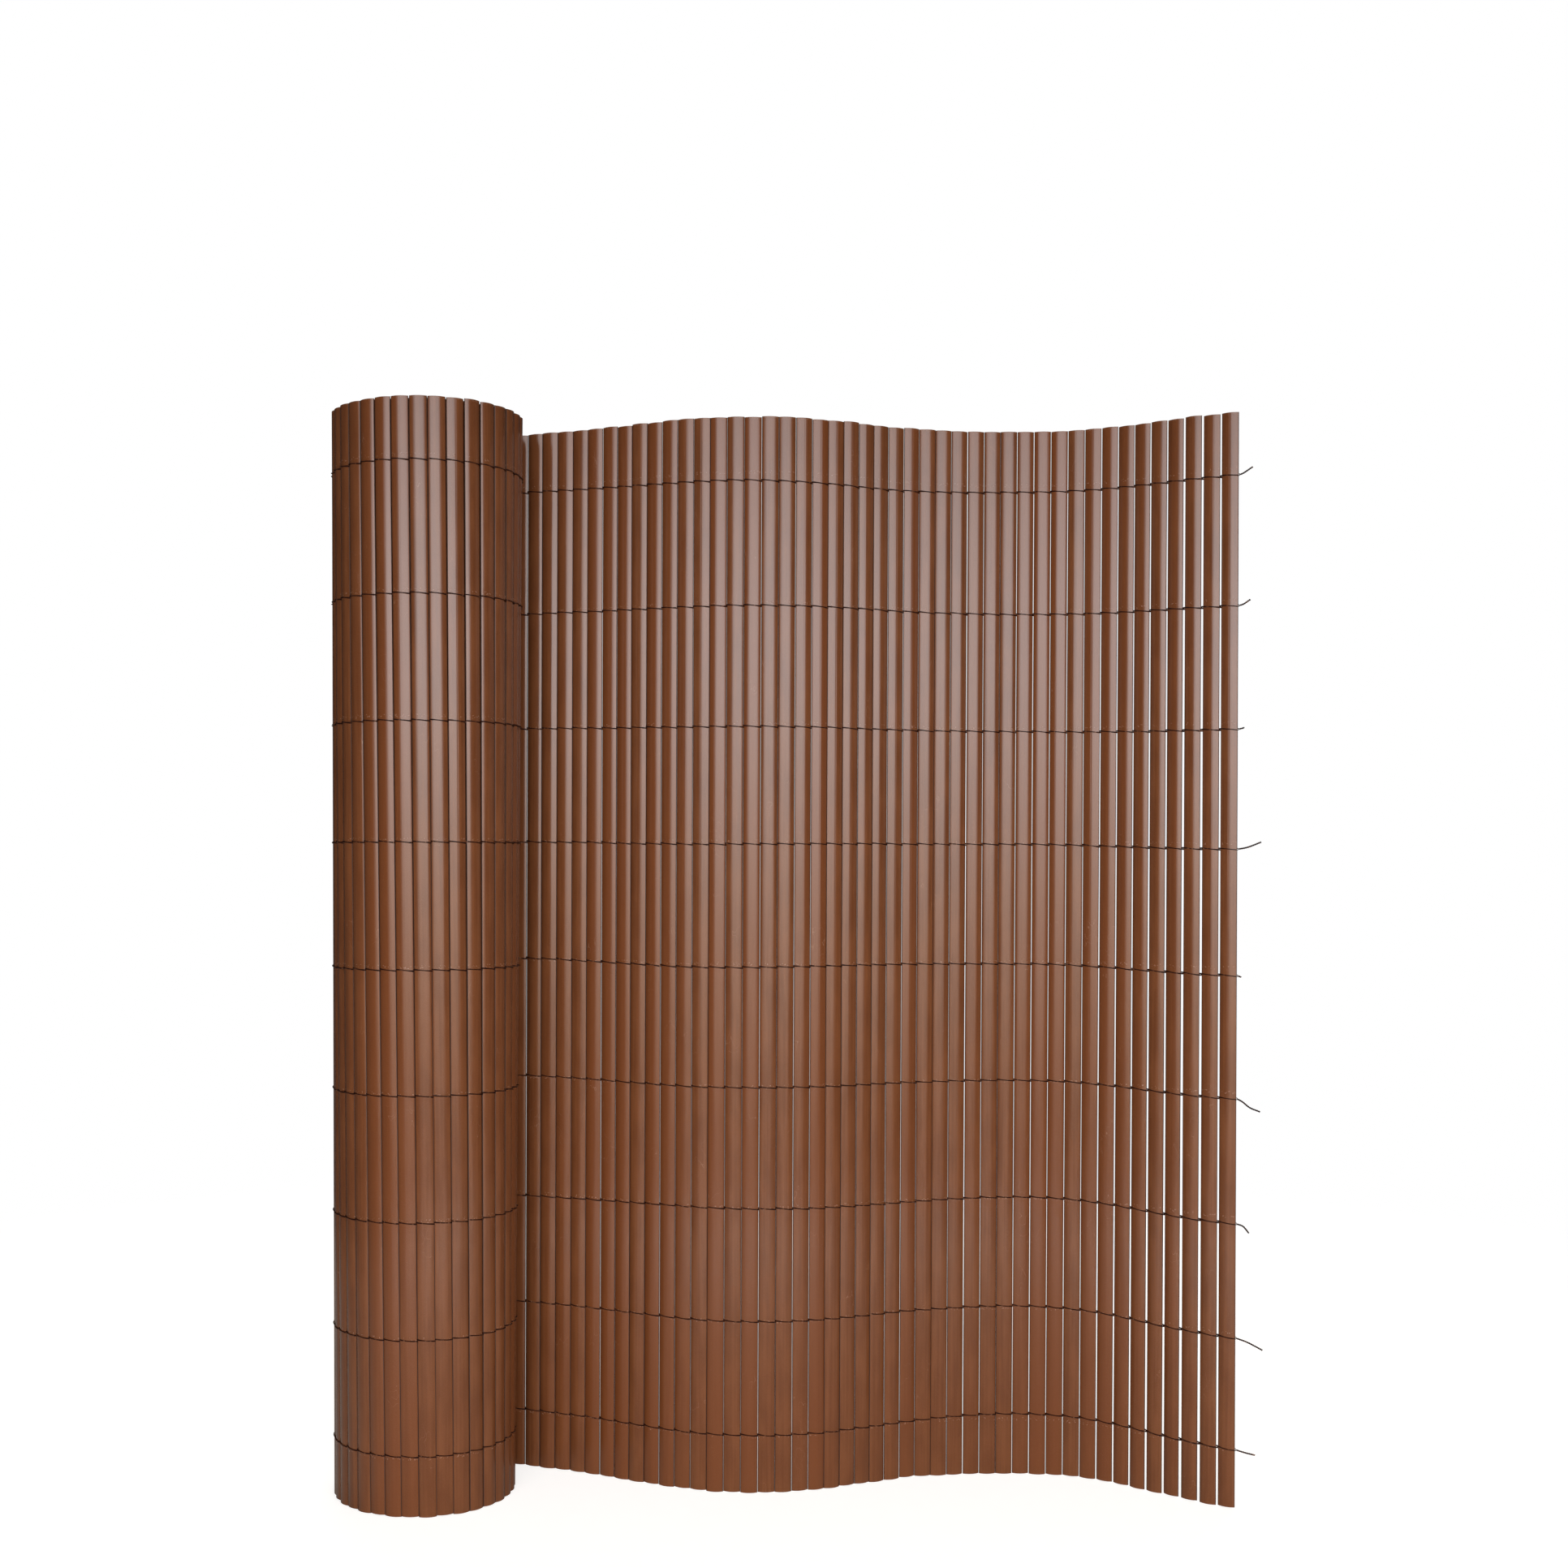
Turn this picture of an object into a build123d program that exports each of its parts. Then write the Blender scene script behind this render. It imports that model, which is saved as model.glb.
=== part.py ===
from build123d import *
from math import asin, atan2, cos, degrees, radians, sin
import os

# A garden privacy mat: upright plastic slats bound side by side with wire, half rolled up.
# X runs along the open sheet to its free end, Y runs to the back, and Z is up.

# The whole mat
mat_height = 900.0
slat_count = 208
sheet_slats = 45  # slats on the open sheet, counted from the free end

# Slat section: an oval with two curved faces and two narrow flat edges
slat_width = 13.0
slat_crown = 4.6  # thickness over the middle
slat_edge = 1.64  # thickness at either edge
slat_gap = 1.4

# Binding: each row is a pair of strands that change sides in every gap
row_places = (0.949, 0.829, 0.717, 0.607, 0.493, 0.379, 0.266, 0.16, 0.053)  # of the height
strand_dia = 0.7
strand_rise = 0.5  # how far a strand passes a gap above or below the line of its row
strand_lean = 0.35  # how far along the mat a strand moves to either side of a gap's middle
wire_clearance = 0.1  # between a strand and the crown of a slat
tail_lengths = (10.5, 9.0, 4.0, 17.0, 2.7, 18.7, 11.0, 19.6, 13.7)  # top row first

# Plan of the mat, with the roll's axis at X 0, Y 0
roll_radius = 81.0  # over the outermost turn where the sheet leaves it
turn_clearance = 0.2  # left between two turns beside their strands
sheet_bends = (  # from level with the roll's right side and the middle line of its back
    (-4.0, -19.2),
    (50.0, -39.7),
    (101.5, -64.7),
    (155.0, -85.7),
    (212.5, -89.2),
    (267.5, -73.7),
    (320.5, -50.7),
    (376.5, -39.2),
    (434.0, -37.7),
    (489.5, -52.2),
    (538.0, -83.2),
    (587.0, -113.2),
)
free_end_heading = -29.0  # degrees from X, turned towards the front

slat_pitch = slat_width + slat_gap
slat_mean = slat_edge + (slat_crown - slat_edge) * 2 / 3  # mean thickness
turn_pitch = slat_crown + 2 * strand_dia + turn_clearance
strand_height = slat_crown / 2 + wire_clearance + strand_dia / 2
outer_turn = roll_radius - slat_crown / 2  # radius of the outermost turn's middle line


def open_sheet():
    """The open sheet's middle line in plan, from the back of the roll to the free end."""
    heading = radians(free_end_heading)
    tangents = [(1, 0), (cos(heading), sin(heading))]
    bends = [(roll_radius + x, outer_turn + y) for x, y in sheet_bends]
    return Spline((0, outer_turn), *bends, tangents=tangents)


def turn_radius(turned):
    """Radius of the rolled middle line, this many degrees on from where the sheet meets it."""
    return outer_turn - turn_pitch * turned / 360


def gap_points():
    """The middles of the gaps from the free end inwards, and how far round the roll each lies."""
    sheet = open_sheet()
    points = []
    turns = []
    left = sheet.length
    while left >= 0:
        points.append(sheet.position_at(left, position_mode=PositionMode.LENGTH))
        turns.append(0.0)
        left -= slat_pitch
    step = -left
    turned = 0.0
    while len(points) <= slat_count:
        turned += degrees(2 * asin(step / 2 / turn_radius(turned)))
        angle = radians(90 + turned)
        points.append(turn_radius(turned) * Vector(cos(angle), sin(angle)))
        turns.append(turned)
        step = slat_pitch
    return points, turns


gaps, turned_by = gap_points()


def outwards(i, j):
    """Unit vector along the mat from one gap towards another that is nearer the free end."""
    return (gaps[j] - gaps[i]).normalized()


def to_front(along):
    """Unit vector square to the mat, out of the face that is the front of the open sheet."""
    return Vector(along.Y, -along.X)


def slat_section():
    """Oval section of a slat, with its width along X."""
    side = slat_width / 2
    edge = slat_edge / 2
    crown = slat_crown / 2
    front = ThreePointArc((-side, -edge), (0, -crown), (side, -edge))
    back = ThreePointArc((side, edge), (0, crown), (-side, edge))
    return make_face([front, Line(front @ 1, back @ 0), back, Line(back @ 1, front @ 0)])


def sheet_slat(i):
    """An upright slat of the open sheet, between two neighbouring gaps."""
    middle = (gaps[i] + gaps[i + 1]) / 2
    along = outwards(i + 1, i)
    heading = degrees(atan2(along.Y, along.X))
    return Location(middle, (0, 0, heading)) * extrude(slat_section(), mat_height)


def shows(i, side):
    """Whether a face of a rolled slat shows: on the outermost turn's back, or in the core."""
    if side < 0:
        return turned_by[i] < 360
    return turned_by[i] == 0 or turned_by[i] > turned_by[slat_count] - 360


def roll_corner(i, side, thickness):
    """Corner between two rolled slats on one side of the mat, or at an end of the roll's solid."""
    along = outwards(min(i + 1, slat_count), i - 1)
    corner = gaps[i] + to_front(along) * side * thickness / 2
    if i == sheet_slats:
        corner -= along * slat_gap / 2
    if i == slat_count:
        corner += along * slat_gap / 2
    return corner


def roll_side(side):
    """One side of the rolled mat: a curved face for each slat that shows, else a flat one."""
    faces = []
    for i in range(sheet_slats, slat_count):
        if shows(i, side):
            middle = (gaps[i] + gaps[i + 1]) / 2
            crown = middle + to_front(outwards(i + 1, i)) * side * slat_crown / 2
            corners = [roll_corner(j, side, slat_edge) for j in (i, i + 1)]
            face = ThreePointArc(corners[0], crown, corners[1])
        else:
            face = Line(*[roll_corner(j, side, slat_mean) for j in (i, i + 1)])
        if faces and (face @ 0 - faces[-1] @ 1).length > slat_edge / 10:
            faces.append(Line(faces[-1] @ 1, face @ 0))
        faces.append(face)
    return faces


def rolled_turns():
    """All the turns of the roll as one solid, hollow at the core."""
    front = roll_side(1)
    back = roll_side(-1)
    ends = [Line(front[0] @ 0, back[0] @ 0), Line(front[-1] @ 1, back[-1] @ 1)]
    return extrude(make_face(front + back + ends), mat_height)


def strand_route(first_side, row_height, tail_length):
    """Corners of one strand: its tail, then over a slat and through a gap in turn."""
    along = outwards(1, 0)
    side = first_side
    height = row_height - strand_rise * side
    tail = gaps[0] + along * tail_length
    route = [Vector(tail.X, tail.Y, height), Vector(gaps[0].X, gaps[0].Y, height)]
    for i in range(sheet_slats + 2):
        if i > 0:
            along = outwards(i + 1, i - 1)
            corner = gaps[i] + along * strand_lean + to_front(along) * strand_height * side
            side = -side
            height = row_height - strand_rise * side
            route.append(Vector(corner.X, corner.Y, height))
        if i <= sheet_slats:
            corner = gaps[i] - along * strand_lean + to_front(along) * strand_height * side
            route.append(Vector(corner.X, corner.Y, height))
    return route


def strand(route):
    """A strand as a slim three-sided bar along its route."""
    path = Polyline(*route)
    start = Plane(origin=path @ 0, z_dir=path % 0)
    return sweep(start * RegularPolygon(strand_dia / 2, 3), path, transition=Transition.RIGHT)


def binding_wire(row):
    """The twined pair of strands of one row, counted from the top."""
    height = mat_height * row_places[row]
    pair = [strand(strand_route(side, height, tail_lengths[row])) for side in (1, -1)]
    return Compound(pair)


pieces = {f"slat_{i + 1:02d}": sheet_slat(i) for i in range(sheet_slats)}
pieces["rolled_turns"] = rolled_turns()
for row in range(len(row_places)):
    pieces[f"binding_wire_{row + 1}"] = binding_wire(row)

# The origin is under the middle of the whole mat, on the ground.
box = Compound(list(pieces.values())).bounding_box()
to_origin = Pos(-box.center().X, -box.center().Y, -box.min.Z)

os.makedirs("parts", exist_ok=True)
for name, piece in pieces.items():
    export_step(to_origin * piece, f"parts/{name}.step")
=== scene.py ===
import math
import random

import bmesh
import bpy
from mathutils import Matrix, Vector


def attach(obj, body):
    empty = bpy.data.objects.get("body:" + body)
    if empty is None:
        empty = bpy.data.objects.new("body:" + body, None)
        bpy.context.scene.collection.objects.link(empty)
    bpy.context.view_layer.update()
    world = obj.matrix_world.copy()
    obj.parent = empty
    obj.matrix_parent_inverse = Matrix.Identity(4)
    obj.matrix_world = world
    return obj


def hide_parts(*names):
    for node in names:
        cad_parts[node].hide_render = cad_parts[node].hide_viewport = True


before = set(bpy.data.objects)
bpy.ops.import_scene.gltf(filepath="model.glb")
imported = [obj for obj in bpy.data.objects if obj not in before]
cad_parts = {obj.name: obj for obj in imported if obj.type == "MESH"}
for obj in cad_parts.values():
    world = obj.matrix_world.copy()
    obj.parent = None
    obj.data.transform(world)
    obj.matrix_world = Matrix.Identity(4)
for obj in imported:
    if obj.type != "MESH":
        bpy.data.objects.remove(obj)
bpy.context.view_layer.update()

mm = 0.001
scene = bpy.context.scene
scene.view_settings.view_transform = "Standard"
print("frame loaded:", len(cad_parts), "nodes")


# Shader maths

class Signal:
    # wraps an output socket, so that 1 - mask or a * b adds the Math nodes
    def __init__(self, look, socket):
        self.look = look
        self.socket = socket

    def __add__(self, other):
        return self.look.maths("ADD", self, other)

    def __sub__(self, other):
        return self.look.maths("SUBTRACT", self, other)

    def __rsub__(self, other):
        return self.look.maths("SUBTRACT", other, self)

    def __mul__(self, other):
        return self.look.maths("MULTIPLY", self, other)

    def __abs__(self):
        return self.look.maths("ABSOLUTE", self)

    __radd__ = __add__
    __rmul__ = __mul__


class Look:
    # the nodes of one material, lamp or world
    def __init__(self, owner):
        owner.use_nodes = True
        self.owner = owner
        self.tree = owner.node_tree
        self.tree.nodes.clear()

    def node(self, kind, settings=None, out=0, **sockets):
        # adds any node: Base_Color names a socket, and i1 is the second one
        made = self.tree.nodes.new(kind)
        for name, value in (settings or {}).items():
            setattr(made, name, value)
        for name, value in sockets.items():
            key = int(name[1:]) if name[1:].isdigit() else name.replace("_", " ")
            if isinstance(value, Signal):
                self.tree.links.new(value.socket, made.inputs[key])
            else:
                made.inputs[key].default_value = value
        return Signal(self, made.outputs[out]) if made.outputs else made

    def maths(self, operation, first, second=None):
        values = {"i0": first} if second is None else {"i0": first, "i1": second}
        return self.node("ShaderNodeMath", {"operation": operation}, **values)

    def step(self, value, low, high):
        # 0 at low and 1 at high, smooth between them
        return self.node("ShaderNodeMapRange", {"interpolation_type": "SMOOTHSTEP"},
                         Value=value, From_Min=low, From_Max=high)

    def noise(self, vector, scale, detail=2.0, roughness=0.5):
        return self.node("ShaderNodeTexNoise", Vector=vector, Scale=scale, Detail=detail,
                         Roughness=roughness)

    def mix(self, factor, first, second):
        # sockets 0, 6 and 7 are the factor and the two colours
        return self.node("ShaderNodeMix", {"data_type": "RGBA"}, out=2,
                         i0=factor, i6=first, i7=second)

    def spread(self, x, y, z):
        return self.node("ShaderNodeCombineXYZ", X=x, Y=y, Z=z)


# Camera and studio

view = {
    "frame": 1932,  # pixels, square
    "focal": 2304.6,  # in the same pixels
    "middle": (877.9, 1085.9),
    "place": (-64.1 * mm, -1577.3 * mm, 528.7 * mm),
    "pitch": -0.579,  # degrees
    "roll": -0.226,
    "sensor": 36,
    "clip": (0.05, 50),
}


def makeCamera():
    data = bpy.data.cameras.new("camera")
    data.sensor_width = view["sensor"]
    data.lens = view["sensor"] * view["focal"] / view["frame"]
    data.shift_x = 0.5 - view["middle"][0] / view["frame"]
    data.shift_y = view["middle"][1] / view["frame"] - 0.5
    data.clip_start, data.clip_end = view["clip"]
    camera = bpy.data.objects.new("camera", data)
    camera.location = view["place"]
    camera.rotation_euler = (math.radians(90 + view["pitch"]), math.radians(view["roll"]), 0)
    scene.collection.objects.link(camera)
    scene.camera = camera


studio = {
    "backdrop": 1.0,  # as the camera sees it
    "above": 0.03,  # the room that lights the object, above and below eye level
    "below": 0.06,
    "horizon": (-0.15, 0.05),  # slopes between which the one turns into the other
}
floor = {
    "radius": 1.7,
    "edges": 96,
    "fade": (0.55, 0.98),  # shares of the radius between which it disappears
    "colour": (0.50, 0.47, 0.43, 1),
    "patch": (0.48, 0.45, 0.41, 1),
    "patches": (60, 3),  # scale and detail
    "patchRange": (0.3, 0.7),
    "lift": 0.76,  # brings the floor near the backdrop's white, for the camera alone
    "drop": 0.2 * mm,
}
lamps = {
    "softbox": {
        "place": (-0.05, -2.60, 0.85), "target": (-0.05, 0.0, 0.85), "size": (6.0, 2.1),
        "watts": 217,
    },
    "fill": {
        "place": (0.0, -1.15, 0.16), "target": (0.0, 0.0, 0.02), "size": (1.8, 0.16),
        "watts": 14,
    },
    "overhead": {
        "place": (0.0, 0.2, 2.6), "target": (0.0, 0.0, 0.0), "size": (2.4, 2.4),
        "watts": 15,
    },
    "behind": {
        "place": (0.2, 2.6, 1.3), "target": (0.0, 0.0, 0.45), "size": (4.0, 1.4),
        "watts": 60,
    },
}
softboxGlow = {
    "rises": (-0.30, 1.05),  # heights between which its cloth gets brighter
    "falls": (1.00, 1.90),  # and between which it dims again
    "topShare": 0.55,  # of its light that is left at the top
    "middle": 0.45,  # the X at which it glows most
    "sides": (1.1, 2.65),  # how far from its middle it glows fully, and how far at all
    "warm": (1.0, 0.74, 0.48, 1),  # at its foot
    "cool": (1.0, 0.99, 1.0, 1),
}
white = (1, 1, 1, 1)


def makeWorld():
    world = bpy.data.worlds.new("studio")
    scene.world = world
    look = Look(world)
    ray = look.node("ShaderNodeTexCoord", out="Generated")
    slope = look.node("ShaderNodeSeparateXYZ", out="Z", Vector=ray)
    upper = look.step(slope, *studio["horizon"])
    level = studio["below"] + (studio["above"] - studio["below"]) * upper
    camera = look.node("ShaderNodeLightPath", out="Is Camera Ray")
    room = look.node("ShaderNodeBackground", Color=white, Strength=level)
    backdrop = look.node("ShaderNodeBackground", Color=white, Strength=studio["backdrop"])
    both = look.node("ShaderNodeMixShader", i0=camera, i1=room, i2=backdrop)
    look.node("ShaderNodeOutputWorld", Surface=both)


def shadeSoftbox(data):
    # its cloth is brightest across the middle, and warmer at the foot
    look = Look(data)
    place = look.node("ShaderNodeNewGeometry", out="Position")
    height = look.node("ShaderNodeSeparateXYZ", out="Z", Vector=place)
    x = look.node("ShaderNodeSeparateXYZ", out="X", Vector=place)
    rise = look.step(height, *softboxGlow["rises"])
    fall = look.step(height, *softboxGlow["falls"]) * (1 - softboxGlow["topShare"])
    aside = look.step(abs(x - softboxGlow["middle"]), *softboxGlow["sides"])
    tint = look.mix(rise, softboxGlow["warm"], softboxGlow["cool"])
    cloth = look.node("ShaderNodeEmission", Color=tint, Strength=rise * (1 - aside) * (1 - fall))
    look.node("ShaderNodeOutputLight", Surface=cloth)


def makeLamps():
    for name, lamp in lamps.items():
        data = bpy.data.lights.new(name, "AREA")
        data.shape = "RECTANGLE"
        data.size, data.size_y = lamp["size"]
        data.energy = lamp["watts"]
        made = bpy.data.objects.new(name, data)
        aim = Vector(lamp["target"]) - Vector(lamp["place"])
        turn = aim.to_track_quat("-Z", "Y").to_matrix().to_4x4()
        made.matrix_world = Matrix.Translation(lamp["place"]) @ turn
        made.visible_camera = False
        if name == "softbox":
            shadeSoftbox(data)
        else:
            made.visible_glossy = False
        scene.collection.objects.link(made)


def makeFloor():
    look = Look(bpy.data.materials.new("paleFloor"))
    place = look.node("ShaderNodeTexCoord", out="Object")
    patches = look.step(look.noise(place, *floor["patches"]), *floor["patchRange"])
    tint = look.mix(patches, floor["patch"], floor["colour"])
    matt = look.node("ShaderNodeBsdfDiffuse", Color=tint)
    camera = look.node("ShaderNodeLightPath", out="Is Camera Ray")
    lift = look.node("ShaderNodeEmission", Color=white, Strength=camera * floor["lift"])
    lit = look.node("ShaderNodeAddShader", i0=matt, i1=lift)
    clear = look.node("ShaderNodeBsdfTransparent")
    reach = look.node("ShaderNodeVectorMath", {"operation": "LENGTH"}, out="Value", i0=place)
    edge = look.step(reach, *[share * floor["radius"] for share in floor["fade"]])
    faded = look.node("ShaderNodeMixShader", i0=edge, i1=lit, i2=clear)
    look.node("ShaderNodeOutputMaterial", Surface=faded)
    bm = bmesh.new()
    bmesh.ops.create_circle(bm, cap_ends=True, segments=floor["edges"], radius=floor["radius"])
    bmesh.ops.translate(bm, verts=bm.verts, vec=(0, 0, -floor["drop"]))
    mesh = bpy.data.meshes.new("floor")
    bm.to_mesh(mesh)
    bm.free()
    mesh.materials.append(look.owner)
    ground = bpy.data.objects.new("floor", mesh)
    scene.collection.objects.link(ground)


makeCamera()
makeWorld()
makeLamps()
makeFloor()
print("camera, lamps and floor are in place")


# The mat's plan: gap 0 is at the free end, slat i lies between gaps i and i + 1

mat = {
    "height": 900 * mm,
    "pitch": 14.4 * mm,
    "sheetSlats": 45,
    "slats": 208,
    # heights of the rows of wire, top row first
    "rows": (854.1 * mm, 746.1 * mm, 645.3 * mm, 546.3 * mm, 443.7 * mm, 341.1 * mm,
             239.4 * mm, 144.0 * mm, 47.7 * mm),
    "loose": (3.0 * mm, 2.5 * mm, 1.5 * mm, 0.65 * mm, 0.15 * mm),  # outer gaps, slid outwards
    "flare": 9 * mm,  # how far the free end's foot stands forward
    "flareSlats": 9,
}
roll = {
    "axis": (-303.14 * mm, -1.60 * mm),
    "radius": 78.7 * mm,  # middle line of the outermost turn, where the sheet leaves it
    "turnPitch": 6.2 * mm,
    "leadSteps": 80,  # along the curve by which the sheet runs onto it
    "twist": 7.5,  # degrees that the feet of the slats are turned ahead of their tops
    "taper": 0.028,  # share of its radius that the roll gains at the top and loses at the foot
    "settle": 13,  # slats over which the sheet takes up the roll's lean
    "outerSlats": 36,  # those that show from outside
    "drawn": 0.009,  # share by which the rows of wire lie closer to mid-height on it
}


def smooth(t):
    # 0 at 0 and 1 at 1, level beyond both
    t = min(max(t, 0), 1)
    return t * t * (3 - 2 * t)


def sheetGaps():
    # each slat of the open sheet stays on its CAD node
    gaps = []
    half = mat["pitch"] / 2
    for i in range(mat["sheetSlats"]):
        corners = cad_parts[f"slat_{i + 1:02d}"].data.vertices
        foot = [v.co.xy for v in corners if v.co.z < mm]
        middle = sum(foot, Vector((0, 0))) / len(foot)
        spans = [p - middle for p in foot]
        # the direction in which the foot's corners are spread widest
        turn = math.atan2(sum(2 * s.x * s.y for s in spans),
                          sum(s.x ** 2 - s.y ** 2 for s in spans)) / 2
        along = Vector((math.cos(turn), math.sin(turn))) * half
        outer = middle + along
        gaps.append(outer if i == 0 else (outer + inner) / 2)
        inner = middle - along
    gaps.append(inner)
    for i, slide in enumerate(mat["loose"]):
        gaps[i] = gaps[i] + (gaps[i] - gaps[i + 1]).normalized() * slide
    return gaps, along.normalized()


def leadIn(start, along, goal):
    # close points on the cubic from the sheet's end to the roll, where it meets X's direction
    reach = (goal - start).length
    line = []
    for k in range(roll["leadSteps"] + 1):
        t = k / roll["leadSteps"]
        line.append(start * (2 * t ** 3 - 3 * t ** 2 + 1)
                    - along * reach * (t ** 3 - 2 * t ** 2 + t)
                    + goal * (3 * t ** 2 - 2 * t ** 3)
                    + Vector((-reach, 0)) * (t ** 3 - t ** 2))
    return line


def turnRadius(turned):
    return roll["radius"] - roll["turnPitch"] * turned / math.tau


def allGaps():
    # the sheet's gaps, then a pitch apart along the lead-in and round the roll
    gaps, along = sheetGaps()
    axis = Vector(roll["axis"])
    line = leadIn(gaps[-1], along, axis + Vector((0, roll["radius"])))
    walked = 0.0
    due = mat["pitch"]
    for here, there in zip(line, line[1:]):
        stretch = (there - here).length
        while walked + stretch >= due:
            gaps.append(here.lerp(there, (due - walked) / stretch))
            due += mat["pitch"]
        walked += stretch
    step = due - walked
    turned = 0.0
    while len(gaps) <= mat["slats"]:
        turned += 2 * math.asin(step / 2 / turnRadius(turned))
        gaps.append(axis + Vector((-math.sin(turned), math.cos(turned))) * turnRadius(turned))
        step = mat["pitch"]
    return gaps


gaps = allGaps()


def gapAt(i, up):
    # a gap's place in plan at this share of the height, since the roll is twisted and tapers
    if i < mat["flareSlats"]:
        share = smooth(1 - i / mat["flareSlats"])
        return gaps[i] - Vector((0, mat["flare"] * (1 - up) * share))
    share = smooth((i - mat["sheetSlats"]) / roll["settle"])
    turn = Matrix.Rotation(math.radians(roll["twist"]) * (1 - up) * share, 2)
    swell = 1 + roll["taper"] * (2 * up - 1) * share
    axis = Vector(roll["axis"])
    return axis + turn @ (gaps[i] - axis) * swell


def slatAt(i, up):
    # the middle of a slat in plan, and the direction of the free end from it
    inner, outer = gapAt(i + 1, up), gapAt(i, up)
    return (inner + outer) / 2, (outer - inner).normalized()


def toFront(along):
    return Vector((along.y, -along.x))


def shows(i):
    # whether a slat is on the sheet or the outermost turn
    return i < mat["sheetSlats"] + roll["outerSlats"]


# Slats: hollow ovals with a web in the middle

slat = {
    "width": 14.3 * mm,
    "crown": 2.3 * mm,  # half the thickness over the middle
    "face": 13.6 * mm,  # radius of the curved faces
    "narrow": 0.035,  # share by which slats are narrower at the free end
    "narrowSlats": (3, 19),  # the slats over which this wears off
    "wall": 0.5 * mm,
    "web": 0.45 * mm,
    "weld": 0.004 * mm,  # corners closer than this become one
    "fine": (10, 4, 4),  # steps along a face, round an edge and along a chamber
    "coarse": (4, 2, 2),
    "yaw": 2.1,  # degrees, how far a slat usually sits turned in its loops
    "skew": 0.4,  # and how much that usually differs between its ends
    "shift": 0.12 * mm,  # the most that it is off to one side
    "uneven": 1.0 * mm,  # of the sawn ends
}
edgeRadius = ((slat["face"] ** 2 - (slat["face"] - slat["crown"]) ** 2 - slat["width"] ** 2 / 4)
              / (2 * slat["face"] - slat["width"]))  # of edges that run smoothly into the faces
sharpFrom = math.radians(40)  # edges bent by less are shaded smooth
slatChance = random.Random(7)


def sweepArc(bm, start, centre, angle, steps):
    swept = bmesh.ops.spin(bm, geom=[start], cent=(*centre, 0), axis=(0, 0, 1),
                           angle=angle, steps=steps)
    return [v for v in swept["geom_last"] if isinstance(v, bmesh.types.BMVert)][0]


def slatTemplate(detail):
    # one slat of height 1 about the origin, its width along X
    onFace, onEdge, inChamber = slat[detail]
    bm = bmesh.new()
    across = bm.verts.layers.float.new("across")
    bm.verts.layers.float.new("tone")

    # outline
    face = slat["face"]
    sink = face - slat["crown"]  # from the slat's middle to the middles of the faces' arcs
    edgeAt = slat["width"] / 2 - edgeRadius
    lean = math.atan2(edgeAt, sink)
    v = bm.verts.new((-face * math.sin(lean), face * math.cos(lean) - sink, 0))
    for side in (1, -1):
        v = sweepArc(bm, v, (0, -sink * side), -2 * lean, onFace)
        v = sweepArc(bm, v, (edgeAt * side, 0), 2 * lean - math.pi, onEdge)

    # a chamber on each side of the web
    inner = face - slat["wall"]
    web = slat["web"] / 2
    start, end = math.asin(web / inner), math.acos(sink / inner)
    for side in (1, -1):
        v = bm.verts.new((web * side, (math.sqrt(inner ** 2 - web ** 2) - sink) * side, 0))
        v = sweepArc(bm, v, (0, -sink * side), start - end, inChamber)
        v = sweepArc(bm, v, (0, sink * side), start - end, inChamber)
    bmesh.ops.remove_doubles(bm, verts=bm.verts, dist=slat["weld"])
    for side in (1, -1):
        bm.edges.new([v for v in bm.verts if abs(v.co.x - web * side) < slat["weld"]])

    # walls and ends
    foot = list(bm.edges)
    walls = bmesh.ops.extrude_edge_only(bm, edges=foot)["geom"]
    top = [v for v in walls if isinstance(v, bmesh.types.BMVert)]
    head = [e for e in walls if isinstance(e, bmesh.types.BMEdge)
            and not any(v in edge.verts for edge in foot for v in e.verts)]
    bmesh.ops.translate(bm, verts=top, vec=(0, 0, 1))
    for rim in (foot, head):
        bmesh.ops.triangle_fill(bm, use_beauty=True, use_dissolve=False, edges=rim)
    bmesh.ops.recalc_face_normals(bm, faces=bm.faces)
    for v in bm.verts:
        v[across] = v.co.x
    mesh = bpy.data.meshes.new(detail)
    bm.to_mesh(mesh)
    bm.free()
    return mesh


def placeSlat(bm, verts, i):
    # narrows, turns, leans and cuts one copy of the template
    tone = bm.verts.layers.float["tone"]
    share = slatChance.random()
    for v in verts:
        v[tone] = share
    first, last = slat["narrowSlats"]
    width = 1 - slat["narrow"] * smooth((last - i) / (last - first))
    bmesh.ops.scale(bm, verts=verts, vec=(width, 1, 1))
    yaw = slatChance.gauss(0, slat["yaw"])
    skew = slatChance.gauss(0, slat["skew"])
    shift = slatChance.uniform(-1, 1) * slat["shift"]
    ends = [v for v in verts if v.co.z < 0.5], [v for v in verts if v.co.z > 0.5]
    for up, end in enumerate(ends):
        middle, along = slatAt(i, up)
        middle = middle + along * shift
        turn = math.atan2(along.y, along.x) + math.radians(yaw + skew * (up - 0.5))
        height = slatChance.uniform(0, slat["uneven"]) + up * mat["height"]
        bmesh.ops.rotate(bm, verts=end, cent=(0, 0, 0), matrix=Matrix.Rotation(turn, 3, "Z"))
        bmesh.ops.translate(bm, verts=end, vec=(*middle, height - up))


def addPiece(mesh, name, material, nodes):
    mesh.shade_smooth()
    mesh.set_sharp_from_angle(angle=sharpFrom)
    mesh.materials.clear()
    mesh.materials.append(material)
    piece = bpy.data.objects.new(name, mesh)
    scene.collection.objects.link(piece)
    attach(piece, "root")
    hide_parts(*nodes)


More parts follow.
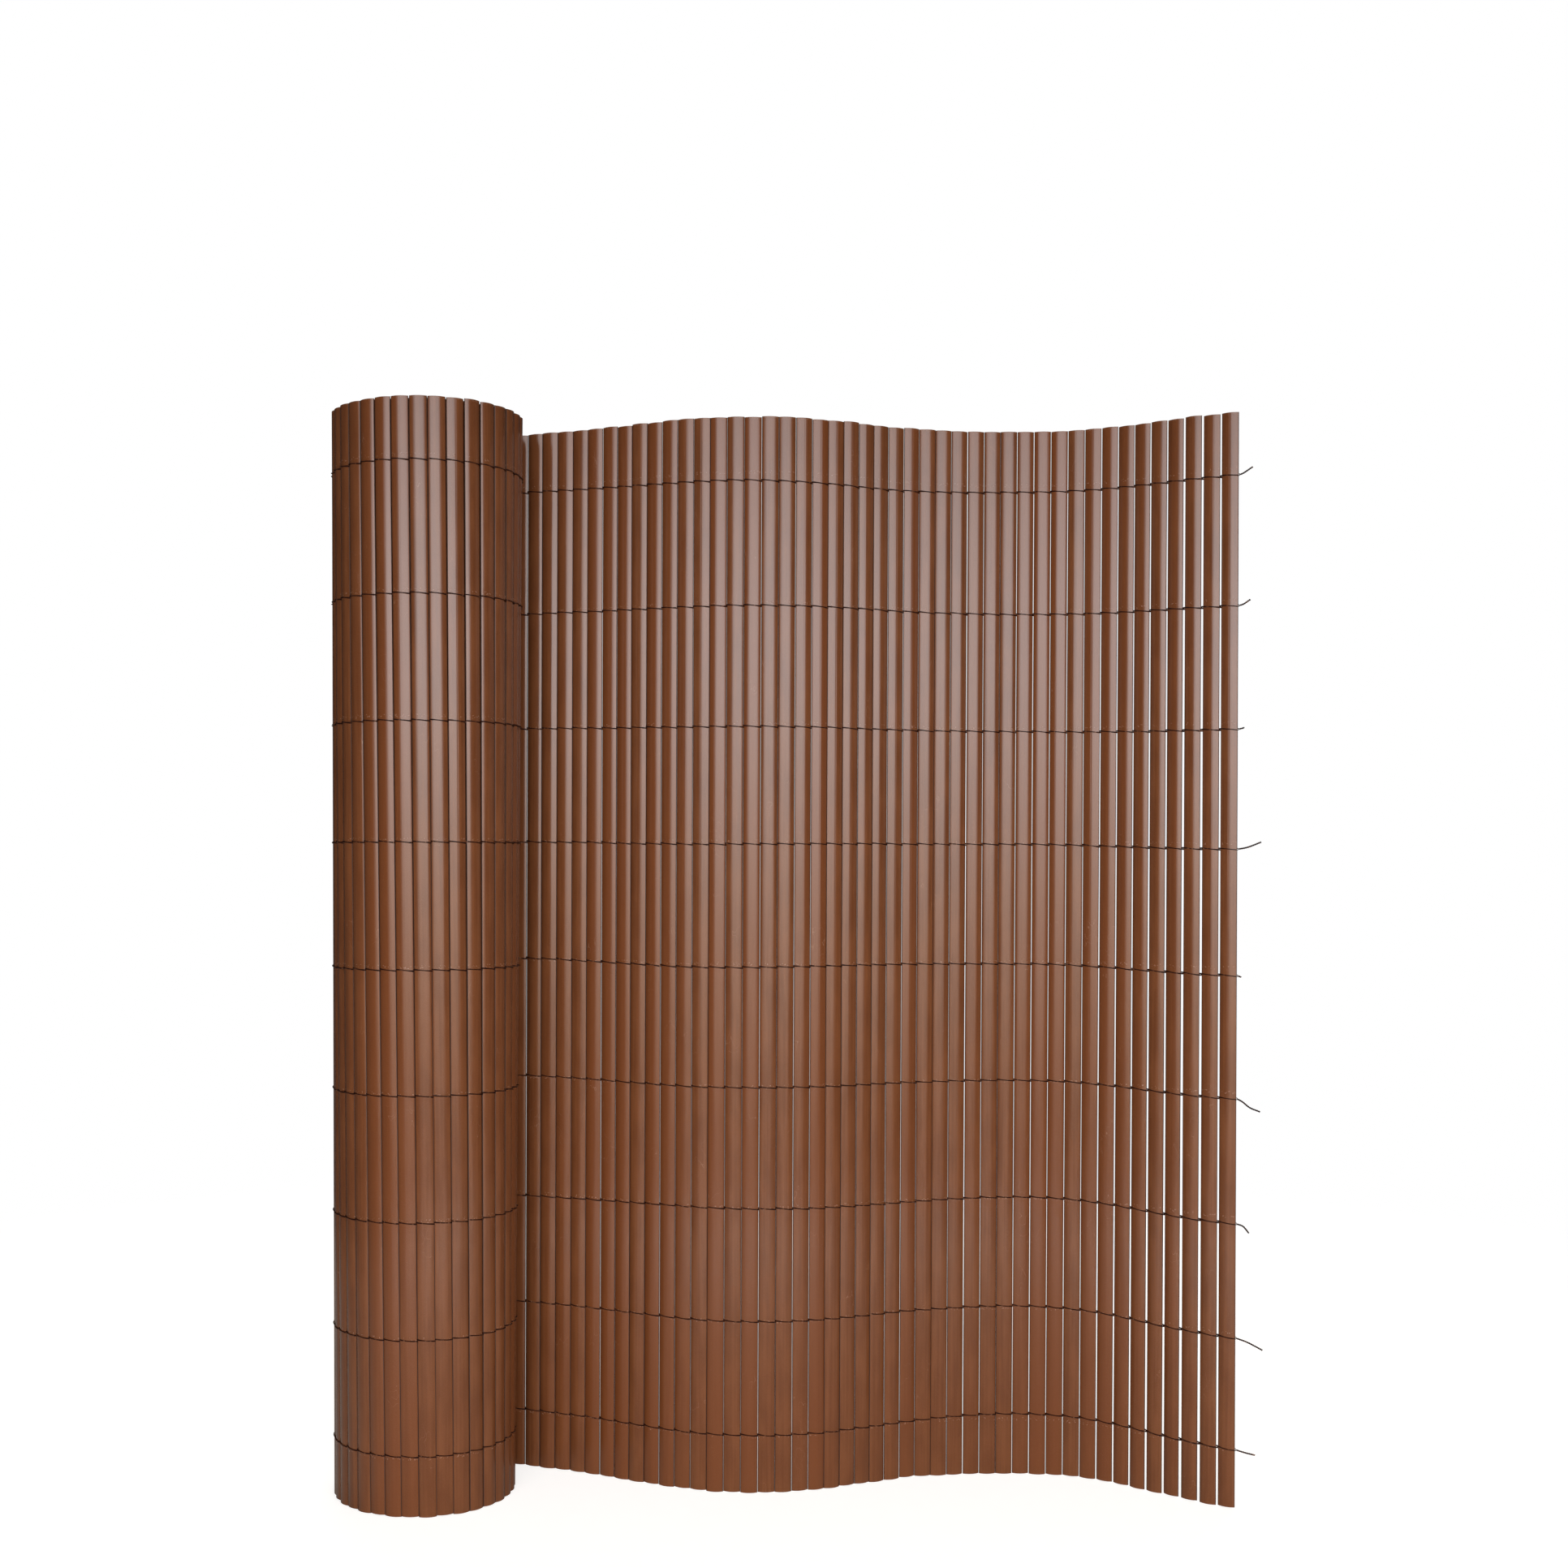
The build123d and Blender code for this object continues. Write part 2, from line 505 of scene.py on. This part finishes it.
slatFinish = {
    "dark": (0.094, 0.0300, 0.0102, 1),
    "light": (0.122, 0.0415, 0.0148, 1),
    "warm": (0.114, 0.0340, 0.0104, 1),
    "groove": (0.020, 0.0065, 0.0030, 1),  # painted shade along both edges
    "pale": (0.24, 0.13, 0.085, 1),  # sawn ends, rubbed spots and scratches
    "gloss": 0.19,
    "ior": 1.54,
    "relief": 0.10 * mm,
}
slatNoises = {
    # share of the height that counts, scale, detail, roughness: a small share draws a noise
    # out along the slat
    "dieLines": (0.004, 2600, 3, 0.6),
    "streaks": (0.006, 900, 1),
    "bands": (0.02, 420),
    "ripple": (0.08, 240),
    "clouds": (0.35, 70, 3),
    "scratches": (0.45, 160, 1),
    "scratched": (0.5, 45, 0),
    "dents": (0.5, 130),
    "spots": (1.0, 700),
    # scale and detail of those that are alike in all directions
    "grain": (2200,),
    "saw": (1500, 1),
}
slatTints = {  # how strongly a mark colours the slat
    "warm": 0.8,
    "grain": 0.10,
    "rubbed": 0.35,
    "scratch": 0.45,
    "torn": 0.25,
    # how strongly the painted shade darkens the edges
    "groove": 0.90,
}
slatRoughness = {"lines": 0.08, "rubbed": 0.15, "torn": 0.2, "groove": 0.45}
slatRelief = {
    "dieLines": 0.06,
    "streaks": 0.40,
    "ripple": 0.35,
    "pinch": 1.2,
    "web": -0.25,
    "scratch": -0.1,
}
slatSteps = {  # values between which a mark comes in
    "clouds": (0.35, 0.65),
    "warm": (0.35, 0.9),
    "grain": (0.45, 0.75),
    "nearWire": (2.4 * mm, 0.6 * mm),
    "spots": (0.58, 0.68),
    "hairline": (0.0015, 0.004),
    "scratched": (0.70, 0.74),
    "nearEnd": (1.2 * mm, 0.4 * mm),
    "saw": (0.50, 0.65),
    # across the slat, where the painted edge shade begins and where it is full
    "groove": (6.55 * mm, 6.95 * mm),
    "pinched": (9 * mm, 0.0),
    "overWeb": (0.75 * mm, 0.1 * mm),
}


def rowDistance(look, height):
    # how far up or down the nearest row of wire is
    nearest = 1.0
    for row in mat["rows"]:
        nearest = look.maths("MINIMUM", abs(height - row), nearest)
    return nearest


def weighted(weights, **signals):
    return sum(signal * weights[name] for name, signal in signals.items())


def slatMaterial():
    look = Look(bpy.data.materials.new("brownPlastic"))
    place = look.node("ShaderNodeTexCoord", out="Object")
    height = look.node("ShaderNodeSeparateXYZ", out="Z", Vector=place)
    across = look.node("ShaderNodeAttribute", {"attribute_name": "across"}, out="Fac")
    tone = look.node("ShaderNodeAttribute", {"attribute_name": "tone"}, out="Fac")
    shifted = across + tone * 3  # no two slats have the same marks
    near = rowDistance(look, height)

    def lengthwise(name, depth):
        share, *texture = slatNoises[name]
        return look.noise(look.spread(shifted, height * share, depth), *texture)

    def stepped(value, name):
        return look.step(value, *slatSteps[name])

    # the plastic itself
    dieLines = lengthwise("dieLines", 0.0)
    bands = lengthwise("bands", 0.0)
    clouds = stepped(lengthwise("clouds", tone) * 0.5 + bands * 0.5, "clouds")
    grain = stepped(look.noise(place, *slatNoises["grain"]), "grain")
    warm = stepped(tone, "warm")
    colour = look.mix(clouds, slatFinish["dark"], slatFinish["light"])
    colour = look.mix(warm * slatTints["warm"], colour, slatFinish["warm"])
    colour = look.mix(grain * slatTints["grain"], colour, slatFinish["pale"])

    # pale marks: rubbed spots close to the wires, hairline scratches here and there, which
    # are contours of a noise, and what the saw has torn at the ends
    rubbed = stepped(near, "nearWire") * stepped(lengthwise("spots", tone), "spots")
    contour = abs(lengthwise("scratches", tone * 5) - 0.5)
    scratched = stepped(lengthwise("scratched", tone + 3), "scratched")
    scratch = (1 - stepped(contour, "hairline")) * scratched
    fromEnd = look.maths("MINIMUM", height, mat["height"] - height)
    torn = stepped(fromEnd, "nearEnd") * stepped(look.noise(place, *slatNoises["saw"]), "saw")
    pale = look.maths("MAXIMUM", scratch * slatTints["scratch"], torn * slatTints["torn"])
    pale = look.maths("MAXIMUM", rubbed * slatTints["rubbed"], pale)
    colour = look.mix(pale, colour, slatFinish["pale"])

    # painted shade along both edges, where they face away from the light beside the dark gaps
    groove = stepped(abs(across), "groove")
    colour = look.mix(groove * slatTints["groove"], colour, slatFinish["groove"])
    rough = slatFinish["gloss"] + weighted(slatRoughness, lines=dieLines + bands - 1,
                                           rubbed=rubbed, torn=torn, groove=groove)

    # the strands pinch a slat, so its reflections bend near them, and it sinks over the web
    pinch = stepped(near, "pinched") * (lengthwise("dents", tone) - 0.5)
    relief = weighted(slatRelief, dieLines=dieLines, streaks=lengthwise("streaks", tone),
                      ripple=lengthwise("ripple", tone), pinch=pinch,
                      web=stepped(abs(across), "overWeb"), scratch=scratch)
    bump = look.node("ShaderNodeBump", Strength=1.0, Distance=slatFinish["relief"], Height=relief)
    shader = look.node("ShaderNodeBsdfPrincipled", Base_Color=colour, Roughness=rough,
                       Normal=bump, IOR=slatFinish["ior"])
    look.node("ShaderNodeOutputMaterial", Surface=shader)
    return look.owner


def buildSlats(name, numbers, nodes):
    # one piece with a copy of the template for each of these slats
    bm = bmesh.new()
    for i in numbers:
        before = len(bm.verts)
        bm.from_mesh(fineSlat if shows(i) else coarseSlat)
        bm.verts.ensure_lookup_table()
        placeSlat(bm, bm.verts[before:], i)
    mesh = bpy.data.meshes.new(name)
    bm.to_mesh(mesh)
    bm.free()
    addPiece(mesh, name, brown, nodes)


brown = slatMaterial()
fineSlat = slatTemplate("fine")
coarseSlat = slatTemplate("coarse")
print("a slat has", len(fineSlat.polygons), "faces, inside the roll", len(coarseSlat.polygons))
for i in range(mat["sheetSlats"]):
    buildSlats(f"open_slat_{i + 1:02d}", [i], [f"slat_{i + 1:02d}"])
print("slats of the open sheet are up")
buildSlats("rolled_slats", range(mat["sheetSlats"], mat["slats"]), ["rolled_turns"])
for template in (fineSlat, coarseSlat):
    bpy.data.meshes.remove(template)
print("slats of the roll are up")


# Binding wire: two strands that change sides in every gap

wire = {
    "radius": 0.40 * mm,
    "rise": 0.66 * mm,  # how far a strand passes a gap above or below its row
    "wander": 0.11 * mm,  # how far a row usually strays up or down from one slat to the next
    "driftGaps": (0, 12, 22, 32, 44, 58),
    "drifts": (  # mm that each row, top one first, is above its height at those gaps
        (-5.4, -5.4, -7.5, -6.3, -3.7, -0.4),
        (-4.7, -2.6, -2.3, -2.9, -1.5, -0.1),
        (-5.6, -2.8, -2.8, -2.9, -0.6, -1.8),
        (-5.1, -1.1, -1.4, -2.3, -0.1, -1.2),
        (-6.4, -1.7, -1.7, -2.9, 0.7, -2.6),
        (-4.9, 0.3, -0.9, -0.8, 1.0, -2.3),
        (-5.8, 0.9, -2.0, -0.3, -2.3, -3.7),
        (-4.2, 1.8, -0.5, 0.3, 0.1, -3.9),
        (0.5, 4.7, 0.2, 1.1, 1.8, -2.2),
    ),
    # where a strand has points, from a slat's middle towards the free end
    "stations": (5.6 * mm, 3.6 * mm, 1.3 * mm, -1.3 * mm, -3.6 * mm, -5.6 * mm),
    "hiddenStations": (5.0 * mm, 0.0, -5.0 * mm),  # the same inside the roll
    "thickness": (1.6, 1.45, 1.1, 0.95, 0.95, 1.1, 1.45),  # at a gap and at each station
    "tailThickness": 0.95,
    "tailRun": 3,  # points from the free end on that are still as thin as the tail
    "tailStep": 0.5 * mm,
    "layPitch": 3.2 * mm,  # one twist of a tail
    "layRadius": 1.05,  # of the strands' middles about the tail's, in radii of a strand
    "sway": 1.5 * mm,  # the most that a tail leans forwards or back where it is
    "swayReach": 12,  # this many mm out from the free end
    # each tail's bends from the free edge, top row first: mm outwards and upwards
    "tails": (
        ((3.2, 0.9), (10.7, 5.2)),
        ((4.0, 1.2), (9.1, 4.3)),
        ((4.5, 1.1),),
        ((8.0, 1.6), (18.5, 5.7)),
        ((2.8, -1.0),),
        ((4.5, -2.2), (10.6, -6.5), (18.8, -9.2)),
        ((5.2, -1.6), (9.8, -6.7)),
        ((9.0, -2.4), (20.9, -7.4)),
        ((3.1, -0.6), (8.5, -1.4), (15.4, -2.1)),
    ),
}
wireChance = random.Random(23)


def driftAt(row, i):
    # how far above its height a row is at a gap
    places, drifts = wire["driftGaps"], wire["drifts"][row]
    for k in range(len(places) - 1):
        if i < places[k + 1]:
            share = smooth((i - places[k]) / (places[k + 1] - places[k]))
            return (drifts[k] + (drifts[k + 1] - drifts[k]) * share) * mm
    return drifts[-1] * mm


def rowHeights(row):
    # the height of a row at each gap
    height = mat["rows"][row]
    heights = []
    for i in range(mat["slats"] + 1):
        drawn = roll["drawn"] * smooth((i - mat["sheetSlats"]) / roll["settle"])
        stray = (mat["height"] / 2 - height) * drawn + driftAt(row, i)
        heights.append(height + (stray + wireChance.gauss(0, wire["wander"])))
    return heights


def faceHeight(x):
    return math.sqrt(slat["face"] ** 2 - x * x) - slat["face"] + slat["crown"]


def strandPoints(side, up, heights):
    # one strand from the free end to the innermost slat, which starts on this side
    points = []
    for i in range(mat["slats"]):
        middle, along = slatAt(i, up)
        gap = gapAt(i, up)
        low = heights[i] - wire["rise"] * side  # at the gap nearer the free end
        high = heights[i + 1] + wire["rise"] * side
        points.append((gap.x, gap.y, low))
        for x in wire["stations" if shows(i) else "hiddenStations"]:
            share = 0.5 - x / mat["pitch"]
            p = middle + along * x + toFront(along) * side * (faceHeight(x) + wire["radius"])
            points.append((p.x, p.y, low + (high - low) * share))
        side = -side
    gap = gapAt(mat["slats"], up)
    points.append((gap.x, gap.y, high))
    return points


def bendThrough(points, spacing):
    # close points on a smooth curve through a few
    ends = [points[0] * 2 - points[1], *points, points[-1] * 2 - points[-2]]
    line = []
    for a, b, c, d in zip(ends, ends[1:], ends[2:], ends[3:]):
        count = max(2, round((c - b).length / spacing))
        for k in range(count):
            t = k / count
            line.append((b * 2 + (c - a) * t + (a * 2 - b * 5 + c * 4 - d) * t ** 2
                         + (b * 3 - a - c * 3 + d) * t ** 3) / 2)
    return [*line, points[-1]]


def tailPoints(row, side, height, sway):
    # the same strand beyond the free end, twisted with the other, tip first
    up = height / mat["height"]
    start, along = gapAt(0, up), slatAt(0, up)[1]
    forwards = Vector((0, 1, 0))
    bends = [Vector((0, 0, 0))]
    for out, rise in wire["tails"][row]:
        bends.append(Vector((out * mm, sway * out / wire["swayReach"], rise * mm)))
    line = bendThrough(bends, wire["tailStep"])
    points = []
    walked = 0.0
    for k, here in enumerate(line):
        before, after = line[max(k - 1, 0)], line[min(k + 1, len(line) - 1)]
        walked += (here - before).length
        aside = (after - before).normalized().cross(forwards).normalized()
        turn = math.tau * walked / wire["layPitch"] + (0 if side > 0 else math.pi)
        offset = aside * math.cos(turn) + forwards * math.sin(turn)
        p = here + offset * wire["radius"] * wire["layRadius"]
        points.append((*(start + along * p.x + toFront(along) * p.y), height + p.z))
    return points[:0:-1]  # the strand itself has the point at the gap


wireFinish = {
    "dark": (0.016, 0.0052, 0.0034, 1),
    # pale patches of painted highlight along the wire
    "paintedHighlight": (0.11, 0.050, 0.030, 1),
    "paintedHighlightRange": (0.57, 0.68),
    "patches": (420, 3),  # scale and detail
    "grain": (3000,),
    "gloss": 0.6,
    "uneven": 0.25,  # how much the gloss differs from patch to patch
    "shine": 0.04,
    "ior": 1.5,
    "relief": 0.04 * mm,
    "bump": 0.6,
}


def wireMaterial():
    look = Look(bpy.data.materials.new("coatedWire"))
    place = look.node("ShaderNodeTexCoord", out="Object")
    patches = look.noise(place, *wireFinish["patches"])
    grain = look.noise(place, *wireFinish["grain"])
    # noise patches where a painted highlight lightens the dark coat
    paintedHighlight = look.step(patches, *wireFinish["paintedHighlightRange"])
    colour = look.mix(paintedHighlight, wireFinish["dark"], wireFinish["paintedHighlight"])
    rough = wireFinish["gloss"] + (patches - 0.5) * wireFinish["uneven"]
    bump = look.node("ShaderNodeBump", Strength=wireFinish["bump"],
                     Distance=wireFinish["relief"], Height=grain)
    shader = look.node("ShaderNodeBsdfPrincipled", Base_Color=colour, Roughness=rough,
                       Normal=bump, IOR=wireFinish["ior"],
                       Specular_IOR_Level=wireFinish["shine"])
    look.node("ShaderNodeOutputMaterial", Surface=shader)
    return look.owner


def buildWire(row):
    # the twined pair of strands of one row, from their tips to the roll's core
    heights = rowHeights(row)
    sway = wireChance.uniform(-wire["sway"], wire["sway"])
    thickness = wire["thickness"]
    shown = len(thickness) * (mat["sheetSlats"] + roll["outerSlats"])
    curve = bpy.data.curves.new("strands", "CURVE")
    curve.dimensions = "3D"
    curve.bevel_depth = wire["radius"]
    curve.bevel_resolution = 1
    curve.use_fill_caps = True
    for side in (1, -1):
        tail = tailPoints(row, side, heights[0], sway)
        points = tail + strandPoints(side, mat["rows"][row] / mat["height"], heights)
        spline = curve.splines.new("POLY")
        spline.points.add(len(points) - 1)
        for k, (point, co) in enumerate(zip(spline.points, points), -len(tail)):
            point.co = (*co, 1)
            if k < wire["tailRun"]:
                point.radius = wire["tailThickness"]
            elif k < shown:
                point.radius = thickness[k % len(thickness)]
    strands = bpy.data.objects.new("strands", curve)
    mesh = bpy.data.meshes.new_from_object(strands)
    bpy.data.objects.remove(strands)
    addPiece(mesh, f"wire_row_{row + 1}", coated, [f"binding_wire_{row + 1}"])


coated = wireMaterial()
for row in range(len(mat["rows"])):
    buildWire(row)
print("binding wire is in")

bpy.context.view_layer.update()
